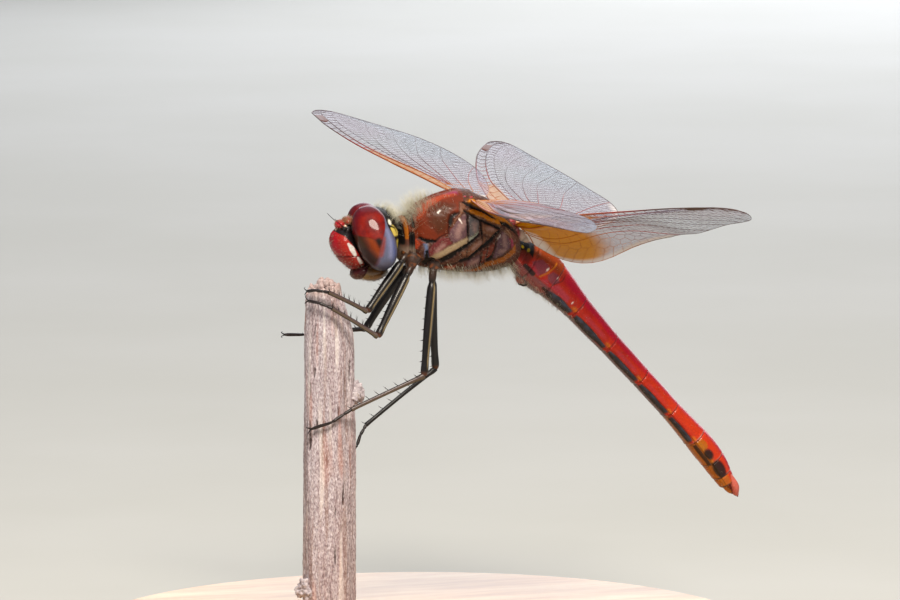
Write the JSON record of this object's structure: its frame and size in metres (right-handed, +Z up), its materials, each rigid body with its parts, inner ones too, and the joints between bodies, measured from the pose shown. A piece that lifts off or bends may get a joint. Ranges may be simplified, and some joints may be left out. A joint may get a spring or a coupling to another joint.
{
  "type": "dragonfly",
  "caption": "Life-size museum model of a male red-veined darter dragonfly, gripping the broken top of a dead stem on a plain round wooden stand.",
  "frame": {"origin": "centre of the underside of the round stand, on the surface that it stands on", "axes": "+Z up; the insect faces -X with its head over the stem, its left side is -Y and its tail runs towards +X"},
  "size_m": [0.052, 0.0615, 0.0378],
  "materials": {
    "eye": "glossy faceted eye, dark red above and grey-blue below",
    "face": "shiny crimson shell with pale patches",
    "lip": "dark maroon to orange-brown shell",
    "head_shell": "dark brown shell with yellow spots behind the eyes",
    "feeler": "thin black bristle",
    "thorax_shell": "satin red-brown and grey plates with black seams and pale hair",
    "abdomen_shell": "satin scarlet shell with black and brown side marks",
    "wing_membrane": "clear film with red and black veins and amber bases",
    "leg_shell": "shiny black shell with a cream stripe and short spines",
    "stem_wood": "weathered grey-pink dead stem with fibres along it",
    "stand_steel": "plain satin steel rod",
    "stand_wood": "turned beech disc with a satin oil finish"
  },
  "bodies": {
    "root": {"abdomen_1": "abdomen_shell", "abdomen_10": "abdomen_shell", "abdomen_2": "abdomen_shell", "abdomen_3": "abdomen_shell", "abdomen_4": "abdomen_shell", "abdomen_5": "abdomen_shell", "abdomen_6": "abdomen_shell", "abdomen_7": "abdomen_shell", "abdomen_8": "abdomen_shell", "abdomen_9": "abdomen_shell", "antenna_left": "feeler", "antenna_right": "feeler", "clasper_left": "abdomen_shell", "clasper_right": "abdomen_shell", "clypeus": "face", "eye_left": "eye", "eye_right": "eye", "forewing_left": "wing_membrane", "forewing_right": "wing_membrane", "frons": "face", "genital_bulge": "abdomen_shell", "head": "head_shell", "hindwing_left": "wing_membrane", "hindwing_right": "wing_membrane", "labium": "lip", "labrum": "lip", "leg_fore_left_femur": "leg_shell", "leg_fore_left_tarsus": "leg_shell", "leg_fore_left_tibia": "leg_shell", "leg_fore_right_femur": "leg_shell", "leg_fore_right_tarsus": "leg_shell", "leg_fore_right_tibia": "leg_shell", "leg_hind_left_femur": "leg_shell", "leg_hind_left_tarsus": "leg_shell", "leg_hind_left_tibia": "leg_shell", "leg_hind_right_femur": "leg_shell", "leg_hind_right_tarsus": "leg_shell", "leg_hind_right_tibia": "leg_shell", "leg_mid_left_femur": "leg_shell", "leg_mid_left_tarsus": "leg_shell", "leg_mid_left_tibia": "leg_shell", "leg_mid_right_femur": "leg_shell", "leg_mid_right_tarsus": "leg_shell", "leg_mid_right_tibia": "leg_shell", "neck": "head_shell", "perch_stem": "stem_wood", "prothorax": "thorax_shell", "stand_base": "stand_wood", "stand_rod": "stand_steel", "thorax": "thorax_shell", "vertex": "face"}
  },
  "joints": []
}
